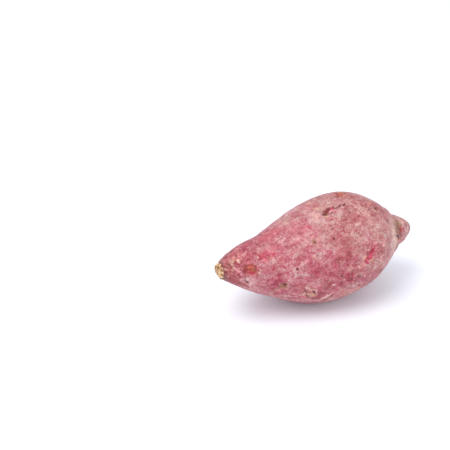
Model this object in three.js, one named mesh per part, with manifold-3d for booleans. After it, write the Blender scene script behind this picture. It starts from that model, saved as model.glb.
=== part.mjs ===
// Purple sweet potato, one grown root, lying on its side.
// Millimetres, +Z up. The root's long axis runs along X: the corky stub where it was
// snapped off the vine is at -X, the short blunt tail nub is at +X.
// The origin is the centre of the bounding box's bottom face, so the root rests on z = 0.

import * as THREE from 'three';
import { mergeVertices } from 'three/addons/utils/BufferGeometryUtils.js';
import Module from 'manifold-3d';

// ---------------------------------------------------------------- driving dimensions

// Radius of the root along its length: [station x, mean radius].
const PROFILE = [
  [-68.46, 0.0],   // face of the corky stub
  [-68.26, 2.7],
  [-67.55, 4.5],
  [-65.83, 5.3],   // stub meets the skin
  [-61.78, 8.1],
  [-54.69, 11.9],
  [-45.57, 16.0],
  [-34.43, 19.6],
  [-21.27, 25.2],
  [-7.09, 30.0],
  [7.01, 31.9],    // widest part of the belly
  [20.02, 31.15],
  [32.04, 28.45],
  [42.05, 22.55],
  [49.06, 16.9],   // blunt shoulder
  [53.06, 13.35],
  [55.36, 11.2],   // crease between shoulder and nub
  [57.27, 9.7],
  [60.27, 8.3],    // tail nub
  [63.27, 6.5],
  [65.68, 4.4],
  [67.08, 2.3],
  [67.58, 0.0],
];

// Height of the root's centre line along its length: [station x, z].
const SPINE = [
  [-70, 3.84], [-55, 1.44], [-38, -2.31], [-18, -4.42], [2, -3.35],
  [22, -0.58], [40, 1.64], [52, 1.55], [60, 1.44], [70, 1.7],
];

// Sideways bow of the centre line.
const BOW_DEPTH = 2.6;        // how far the belly bows towards +Y
const BOW_CENTRE = 4;         // station of the bow's middle
const BOW_HALF_WAVE = 150;    // half wavelength of the bow
const BOW_OFFSET = -1.6;
const NUB_LEAN = 2.2;         // the nub leans this far towards -Y
const NUB_STATION = 66;
const NUB_REACH = 14;

// The section is not quite round: two, three and twisting lobes, as fractions of the radius.
const OVAL = 0.028;
const OVAL_TURN = 10;         // degrees
const TRILOBE = 0.012;
const TRILOBE_TURN = 70;      // degrees
const TRILOBE_TWIST = 60;     // mm of length per radian
const TWIST = 0.010;
const TWIST_PITCH = 28;       // mm of length per radian
const LOBE_FADE = 14;         // the lobes fade out below this radius

// Shallow swellings (+) and hollows (-): [station x, angle in degrees, height, reach along x, reach in degrees].
// Angle 0 is the +Y side, 90 the top, 180 the -Y side, 270 the underside.
const SWELLINGS = [
  [-30, 150, 0.9, 12, 30],
  [-36, 95, -1.3, 9, 24],
  [18, 60, 0.9, 16, 28],
  [34, 200, 0.8, 14, 30],
  [-8, 215, -0.7, 14, 26],
  [10, 120, -0.6, 10, 20],
  [44, 100, 0.7, 9, 30],
  [-20, 300, 0.6, 18, 30],
  [28, 310, 0.5, 15, 40],
  [2, 10, 0.7, 20, 30],
  [-44, 330, 0.5, 10, 40],
  [46, 330, -0.6, 9, 30],
  [13, 268, 0.9, 17, 34],
];
const SWELL_FADE = 8;         // the swellings fade out below this radius

const FLAT_DEPTH = 0.85;      // how much of the underside the small resting flat takes off

const RINGS = 60;             // rings of facets along the length
const SIDES = 46;             // facets around the girth

// ---------------------------------------------------------------- shape of the root

const rad = THREE.MathUtils.degToRad;

function curveThrough(pairs) {
  return new THREE.CatmullRomCurve3(
    pairs.map(([a, b]) => new THREE.Vector3(a, b, 0)), false, 'centripetal');
}

// Height of the centre line at a station, read off the spine curve.
const spineSamples = curveThrough(SPINE).getPoints(400);
function spineHeight(x) {
  let i = 0;
  while (i < spineSamples.length - 2 && spineSamples[i + 1].x < x) i += 1;
  const p = spineSamples[i];
  const q = spineSamples[i + 1];
  return THREE.MathUtils.lerp(p.y, q.y, (x - p.x) / (q.x - p.x));
}

function sideBow(x) {
  return BOW_DEPTH * Math.cos(Math.PI * (x - BOW_CENTRE) / BOW_HALF_WAVE) + BOW_OFFSET
    - NUB_LEAN * Math.exp(-(((x - NUB_STATION) / NUB_REACH) ** 2));
}

// Distance from the centre line to the skin at a station and angle.
function skinRadius(x, r, angle) {
  const lobes = OVAL * Math.cos(2 * (angle - rad(OVAL_TURN)))
    + TRILOBE * Math.cos(3 * (angle - rad(TRILOBE_TURN)) + x / TRILOBE_TWIST)
    + TWIST * Math.sin(2 * angle + x / TWIST_PITCH);
  let skin = r * (1 + lobes * Math.min(1, r / LOBE_FADE));
  for (const [sx, turn, height, reach, spread] of SWELLINGS) {
    let d = angle - rad(turn);
    d = Math.atan2(Math.sin(d), Math.cos(d));
    skin += height * Math.min(1, r / SWELL_FADE)
      * Math.exp(-(((x - sx) / reach) ** 2) - ((d / rad(spread)) ** 2));
  }
  return skin;
}

function rootGeometry() {
  const profile = curveThrough(PROFILE).getPoints(RINGS)
    .map((p) => new THREE.Vector2(Math.max(0, p.y), p.x));
  profile[0].x = 0;
  profile[RINGS].x = 0;

  const lathe = new THREE.LatheGeometry(profile, SIDES);
  lathe.deleteAttribute('normal');
  lathe.deleteAttribute('uv');
  const geometry = mergeVertices(lathe, 1e-4);

  // The lathe turns about its own Y: lay that axis along X and shape the skin.
  const pos = geometry.getAttribute('position');
  for (let i = 0; i < pos.count; i += 1) {
    const x = pos.getY(i);
    const r = Math.hypot(pos.getX(i), pos.getZ(i));
    const angle = Math.atan2(pos.getX(i), pos.getZ(i));
    const skin = skinRadius(x, r, angle);
    pos.setXYZ(i, x, sideBow(x) + skin * Math.cos(angle), spineHeight(x) + skin * Math.sin(angle));
  }
  return geometry;
}

// ---------------------------------------------------------------- solid operations

const wasm = await Module();
wasm.setup();

function toSolid(source) {
  let geometry = source.clone();
  for (const name of ['normal', 'uv']) {
    if (geometry.getAttribute(name)) geometry.deleteAttribute(name);
  }
  geometry = mergeVertices(geometry, 1e-4);
  const index = geometry.getIndex().array;
  const triangles = [];
  for (let i = 0; i < index.length; i += 3) {
    const [a, b, c] = [index[i], index[i + 1], index[i + 2]];
    if (a !== b && b !== c && c !== a) triangles.push(a, b, c);
  }
  return new wasm.Manifold(new wasm.Mesh({
    numProp: 3,
    vertProperties: new Float32Array(geometry.getAttribute('position').array),
    triVerts: new Uint32Array(triangles),
  }));
}

function fromSolid(solid) {
  const mesh = solid.getMesh();
  const geometry = new THREE.BufferGeometry();
  geometry.setAttribute('position', new THREE.BufferAttribute(new Float32Array(mesh.vertProperties), 3));
  geometry.setIndex(new THREE.BufferAttribute(new Uint32Array(mesh.triVerts), 1));
  return geometry;
}

// ---------------------------------------------------------------- the root with its resting flat

const grown = rootGeometry();
grown.computeBoundingBox();
const flatHeight = grown.boundingBox.min.z + FLAT_DEPTH;

const below = new THREE.BoxGeometry(200, 120, 40);
below.translate(0, 0, flatHeight - 20);

const geometry = fromSolid(toSolid(grown).subtract(toSolid(below)));
geometry.computeBoundingBox();
const { min, max } = geometry.boundingBox;
geometry.translate(-(min.x + max.x) / 2, -(min.y + max.y) / 2, -flatHeight);
geometry.computeVertexNormals();

const skinMaterial = new THREE.MeshStandardMaterial({ color: 0xc27e83, roughness: 0.72, metalness: 0.0 });

const root = new THREE.Mesh(geometry, skinMaterial);
root.name = 'sweet_potato_root';

const sweetPotato = new THREE.Group();
sweetPotato.add(root);

export default sweetPotato;
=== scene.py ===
"""Looks of the purple sweet potato: one high-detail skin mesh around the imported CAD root.

Lengths inside the shape functions are millimetres in the part's frame (+X from the corky
stub to the tail nub, +Z up, origin under the middle of the root); the mesh is in metres.
"""

import math

import bpy
import numpy as np
from mathutils import Matrix, Vector


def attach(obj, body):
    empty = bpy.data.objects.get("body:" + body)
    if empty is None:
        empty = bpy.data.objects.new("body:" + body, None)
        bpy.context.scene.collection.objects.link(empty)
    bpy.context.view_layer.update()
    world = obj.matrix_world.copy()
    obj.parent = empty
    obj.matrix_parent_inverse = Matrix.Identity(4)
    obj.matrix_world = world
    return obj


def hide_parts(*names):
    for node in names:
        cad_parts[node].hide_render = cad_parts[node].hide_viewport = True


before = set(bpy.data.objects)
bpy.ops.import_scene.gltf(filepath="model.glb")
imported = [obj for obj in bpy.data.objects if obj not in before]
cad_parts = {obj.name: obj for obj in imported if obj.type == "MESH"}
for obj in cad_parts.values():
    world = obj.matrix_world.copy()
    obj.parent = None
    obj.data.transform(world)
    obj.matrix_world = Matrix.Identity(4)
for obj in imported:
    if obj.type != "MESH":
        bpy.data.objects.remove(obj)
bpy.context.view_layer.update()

# ------------------------------------------------------------------ shape of the root

PROFILE = np.array([
    [-68.46, 0.0], [-68.26, 2.7], [-67.55, 4.5], [-65.83, 5.3], [-61.78, 8.1], [-54.69, 11.9],
    [-45.57, 16.0], [-34.43, 19.6], [-21.27, 25.2], [-7.09, 30.0], [7.01, 31.9], [20.02, 31.15],
    [32.04, 28.45], [42.05, 22.55], [49.06, 16.9], [53.06, 13.35], [55.36, 11.2], [57.27, 9.7],
    [60.27, 8.3], [63.27, 6.5], [65.68, 4.4], [67.08, 2.3], [67.58, 0.0]])
SPINE = np.array([
    [-70, 3.84], [-55, 1.44], [-38, -2.31], [-18, -4.42], [2, -3.35],
    [22, -0.58], [40, 1.64], [52, 1.55], [60, 1.44], [70, 1.7]])
SWELLINGS = [
    (-30, 150, 0.9, 12, 30), (-36, 95, -1.3, 9, 24), (18, 60, 0.9, 16, 28), (34, 200, 0.8, 14, 30),
    (-8, 215, -0.7, 14, 26), (10, 120, -0.6, 10, 20), (44, 100, 0.7, 9, 30), (-20, 300, 0.6, 18, 30),
    (28, 310, 0.5, 15, 40), (2, 10, 0.7, 20, 30), (-44, 330, 0.5, 10, 40), (46, 330, -0.6, 9, 30),
    (13, 268, 0.9, 17, 34)]
TO_PART = np.array([0.44, -0.8883, 33.5984])   # shape functions' frame to the part's frame


def curve_through(points, t):
    """Centripetal Catmull-Rom curve through 2-D points, at parameters t from 0 to 1."""
    pts = np.vstack([2 * points[0] - points[1], points, 2 * points[-1] - points[-2]])
    n = len(points) - 1
    s = np.clip(np.asarray(t, float), 0, 1) * n
    i = np.minimum(s.astype(int), n - 1)
    w = s - i
    p0, p1, p2, p3 = pts[i], pts[i + 1], pts[i + 2], pts[i + 3]
    d0, d1, d2 = (np.maximum(((b - a) ** 2).sum(1) ** 0.25, 1e-9)[:, None]
                  for a, b in ((p0, p1), (p1, p2), (p2, p3)))
    t1 = ((p1 - p0) / d0 - (p2 - p0) / (d0 + d1) + (p2 - p1) / d1) * d1
    t2 = ((p2 - p1) / d1 - (p3 - p1) / (d1 + d2) + (p3 - p2) / d2) * d1
    w = w[:, None]
    return (p1 + t1 * w + (-3 * p1 + 3 * p2 - 2 * t1 - t2) * w ** 2
            + (2 * p1 - 2 * p2 + t1 + t2) * w ** 3)


SPINE_CURVE = curve_through(SPINE, np.linspace(0, 1, 401))


def centre_line(x):
    bow = (2.6 * np.cos(np.pi * (x - 4) / 150) - 1.6
           - 2.2 * np.exp(-((x - 66) / 14) ** 2))
    return bow, np.interp(x, SPINE_CURVE[:, 0], SPINE_CURVE[:, 1])


def skin_radius(x, r, a):
    lobes = (0.028 * np.cos(2 * (a - np.radians(10)))
             + 0.012 * np.cos(3 * (a - np.radians(70)) + x / 60)
             + 0.010 * np.sin(2 * a + x / 28))
    skin = r * (1 + lobes * np.minimum(1, r / 14))
    for sx, turn, height, reach, spread in SWELLINGS:
        d = (a - np.radians(turn) + np.pi) % (2 * np.pi) - np.pi
        skin = skin + height * np.minimum(1, r / 8) * np.exp(
            -((x - sx) / reach) ** 2 - (d / np.radians(spread)) ** 2)
    return skin


def surface(x, r, a):
    """Points on the smooth root, in millimetres in the part's frame."""
    skin = skin_radius(x, r, a)
    yc, zc = centre_line(x)
    return np.stack([x, yc + skin * np.cos(a), zc + skin * np.sin(a)], -1) + TO_PART


# ------------------------------------------------------------------ seeded noise

def lattice(seed):
    rng = np.random.default_rng(seed)
    g = rng.normal(size=(256, 3))
    return rng.permutation(256), g / np.linalg.norm(g, axis=1)[:, None]


def noise(p, seed=0):
    """Gradient noise of points p, about -0.7 to 0.7."""
    perm, grads = lattice(seed)
    cell = np.floor(p).astype(int)
    f = p - cell
    u = f * f * f * (f * (f * 6 - 15) + 10)
    out = np.zeros(p.shape[:-1])
    for dx in (0, 1):
        for dy in (0, 1):
            for dz in (0, 1):
                h = perm[(perm[(perm[(cell[..., 0] + dx) & 255] + cell[..., 1] + dy) & 255]
                          + cell[..., 2] + dz) & 255]
                corner = np.array([dx, dy, dz])
                w = np.prod(np.where(corner == 1, u, 1 - u), axis=-1)
                out = out + w * ((f - corner) * grads[h]).sum(-1)
    return out


def fbm(p, size, octaves=3, seed=0, gain=0.5):
    total, amp, norm = 0.0, 1.0, 0.0
    for k in range(octaves):
        total = total + amp * noise(p / size * 2 ** k + 17.3 * k, seed + k)
        norm += amp
        amp *= gain
    return total / norm


def smooth(lo, hi, v):
    t = np.clip((v - lo) / (hi - lo), 0, 1)
    return t * t * (3 - 2 * t)

# ------------------------------------------------------------------ grid on the root

COLUMNS = 332
STEPS = [(0.0, 0.26), (6.5, 0.26), (13.0, 0.56), (30.0, 0.63), (128.0, 0.63), (140.0, 0.52), (158.0, 0.40), (175.0, 0.40)]


def rings():
    """Profile parameters of the rings: closest on the corky stub and the nub."""
    t = np.linspace(0, 1, 6001)
    p = curve_through(PROFILE, t)
    arc = np.concatenate([[0], np.cumsum(np.hypot(*np.diff(p, axis=0).T))])
    spacing = np.interp(arc, *np.array(STEPS).T)
    count = np.concatenate([[0], np.cumsum(np.diff(arc) / spacing[1:])])
    n = int(count[-1])
    return np.interp(np.linspace(0, count[-1], n + 1), count, t)


ring_t = rings()
profile = curve_through(PROFILE, ring_t)
ring_x, ring_r = profile[:, 0], np.maximum(profile[:, 1], 0)
ring_r[0] = ring_r[-1] = 0
angles = np.arange(COLUMNS) * 2 * np.pi / COLUMNS
X, A = np.meshgrid(ring_x, angles, indexing="ij")
R = np.repeat(ring_r[:, None], COLUMNS, 1)
P = surface(X, R, A)
along = np.gradient(P, axis=0)
around = np.roll(P, -1, 1) - np.roll(P, 1, 1)
NRM = np.cross(around, along)
NRM /= np.linalg.norm(NRM, axis=2, keepdims=True) + 1e-12
if ((P - P.mean(1, keepdims=True)) * NRM)[20:-20].sum() < 0:
    NRM = -NRM
NRM[0] = (-1, 0, 0)
NRM[-1] = (1, 0, 0)
YC, ZC = centre_line(X)
AXIS = np.stack([X, YC, ZC], -1) + TO_PART
LOCAL = P - AXIS                                     # from the centre line outwards
LOCAL[..., 0] = X


# ------------------------------------------------------------------ colours, as seen on the skin

def linear(rgb):
    c = np.asarray(rgb, float) / 255
    return np.where(c <= 0.04045, c / 12.92, ((c + 0.055) / 1.055) ** 2.4)


INK = {
    "red": (190, 84, 92), "crimson": (188, 50, 78), "pink": (218, 98, 126), "maroon": (134, 50, 58),
    "dark": (112, 46, 40), "black": (92, 10, 24), "brown": (150, 92, 66), "olive": (168, 126, 92),
    "rust": (184, 76, 66), "blood": (166, 54, 68), "orange": (206, 118, 90), "tan": (214, 170, 134), "beige": (218, 178, 164),
    "cream": (240, 208, 188), "white": (240, 216, 210), "pale": (214, 172, 174), "mauve": (184, 130, 144),
}
EDGE = {"pale": 1.7, "beige": 1.6, "mauve": 1.6, "red": 1.4, "pink": 1.3, "orange": 1.2, "olive": 1.3}   # softer edges
VEIL = {"pale": 0.55, "beige": 0.65, "mauve": 0.55, "red": 0.75, "pink": 0.8, "tan": 0.85, "olive": 0.8, "orange": 0.85, "white": 0.8, "cream": 0.85}

# Clusters of small specks: station, angle, half length, half width, turn of the cluster; kinds,
# count, speck size (mm), aspect, spread of the specks' turn, cover, height (mm).
CLUSTERS = [
    (-59.3, 118, 3.7, 1.3, -30, "tan orange tan brown cream", 18, (0.32, 0.55), (1.0, 2.6), 60, 0.95, 0.15),
    (-62.7, 133, 3.0, 2.0, -23, "brown tan maroon rust dark", 18, (0.3, 0.55), (1.0, 2.4), 70, 0.85, -0.08),
    (-64.1, 166, 3.5, 1.9, 82, "maroon brown pale dark", 16, (0.3, 0.6), (1.0, 2.2), 70, 0.8, -0.08),
    (-55.7, 104, 5.2, 2.4, -23, "maroon crimson rust pink orange", 26, (0.35, 0.75), (1.2, 3.0), 40, 0.75, -0.06),
    (-57.7, 156, 3.9, 3.6, 6, "maroon pink pale cream", 26, (0.3, 0.6), (1.0, 2.8), 80, 0.7, 0.04),
    (-51.8, 154, 3.7, 2.6, 8, "orange maroon rust brown orange", 26, (0.3, 0.55), (1.0, 2.6), 80, 0.85, 0.06),
    (-47.6, 157, 3.3, 1.6, 89, "maroon red cream", 12, (0.3, 0.55), (1.4, 3.4), 30, 0.75, -0.05),
    (-53.6, 190, 3.8, 3.1, 23, "dark white pale maroon", 20, (0.28, 0.5), (1.0, 2.8), 80, 0.75, 0.05),
    (-40.3, 122, 6.1, 4.1, -11, "crimson crimson cream crimson pink white", 44, (0.3, 0.55), (1.4, 4.2), 75, 0.85, 0.04),
    (-44.6, 129, 3.3, 2.7, -67, "maroon white pink", 14, (0.28, 0.5), (1.4, 3.6), 70, 0.8, 0.04),
    (-32.0, 188, 3.3, 2.6, 19, "brown olive dark", 12, (0.3, 0.6), (1.0, 2.4), 60, 0.6, -0.06),
    (-16.6, 196, 4.9, 3.7, 37, "tan maroon cream orange", 16, (0.28, 0.5), (1.2, 3.6), 60, 0.75, 0.08),
    (14.1, 97, 6.4, 2.0, 0, "maroon cream maroon", 20, (0.28, 0.5), (1.0, 3.0), 70, 0.8, -0.06),
    (5.5, 98, 4.9, 2.6, -33, "brown maroon cream", 12, (0.28, 0.5), (1.0, 2.4), 60, 0.7, -0.06),
    (-10.1, 130, 3.3, 2.9, 17, "olive brown maroon orange", 14, (0.3, 0.6), (1.0, 2.0), 80, 0.6, -0.05),
    (23.5, 75, 3.8, 2.9, 43, "brown orange dark", 10, (0.28, 0.5), (1.0, 2.6), 60, 0.7, -0.05),
    (7.7, 187, 10.0, 6.0, 36, "maroon maroon maroon cream crimson", 54, (0.34, 0.66), (1.0, 2.2), 80, 0.85, -0.12),
    (21.5, 168, 4.7, 4.0, -23, "crimson maroon tan pink", 20, (0.3, 0.6), (1.2, 3.0), 40, 0.75, -0.06),
    (25.6, 116, 5.8, 5.4, 52, "beige tan cream red", 26, (0.35, 0.8), (1.2, 3.4), 60, 0.6, 0.05),
    (35.6, 110, 5.0, 4.2, -56, "brown orange tan pink", 14, (0.28, 0.5), (1.0, 2.8), 60, 0.7, -0.05),
    (41.5, 136, 8.5, 4.3, -15, "maroon olive pink beige", 22, (0.3, 0.6), (1.0, 2.8), 80, 0.6, -0.05),
    (52.6, 148, 5.1, 4.3, 14, "brown olive maroon", 14, (0.3, 0.55), (1.0, 2.4), 50, 0.6, -0.05),
    (57.8, 154, 4.8, 3.6, 73, "pink beige mauve maroon", 22, (0.3, 0.6), (1.0, 2.8), 80, 0.65, 0.05),
    (29.6, 172, 8.2, 5.1, -32, "pink cream mauve pale", 34, (0.3, 0.55), (1.6, 5.0), 20, 0.55, 0.06),
    (-14.1, 216, 16.5, 2.9, -5, "beige cream olive", 24, (0.35, 0.7), (1.4, 4.0), 20, 0.55, 0.04),
    (28.6, 216, 9.0, 4.3, -7, "red beige brown", 22, (0.35, 0.7), (1.2, 3.4), 40, 0.6, 0.04),
    (-22.3, 114, 10.0, 3.4, -11, "pale pale cream pink", 36, (0.4, 0.8), (1.8, 5.0), 18, 0.5, 0.05),
]

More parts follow.
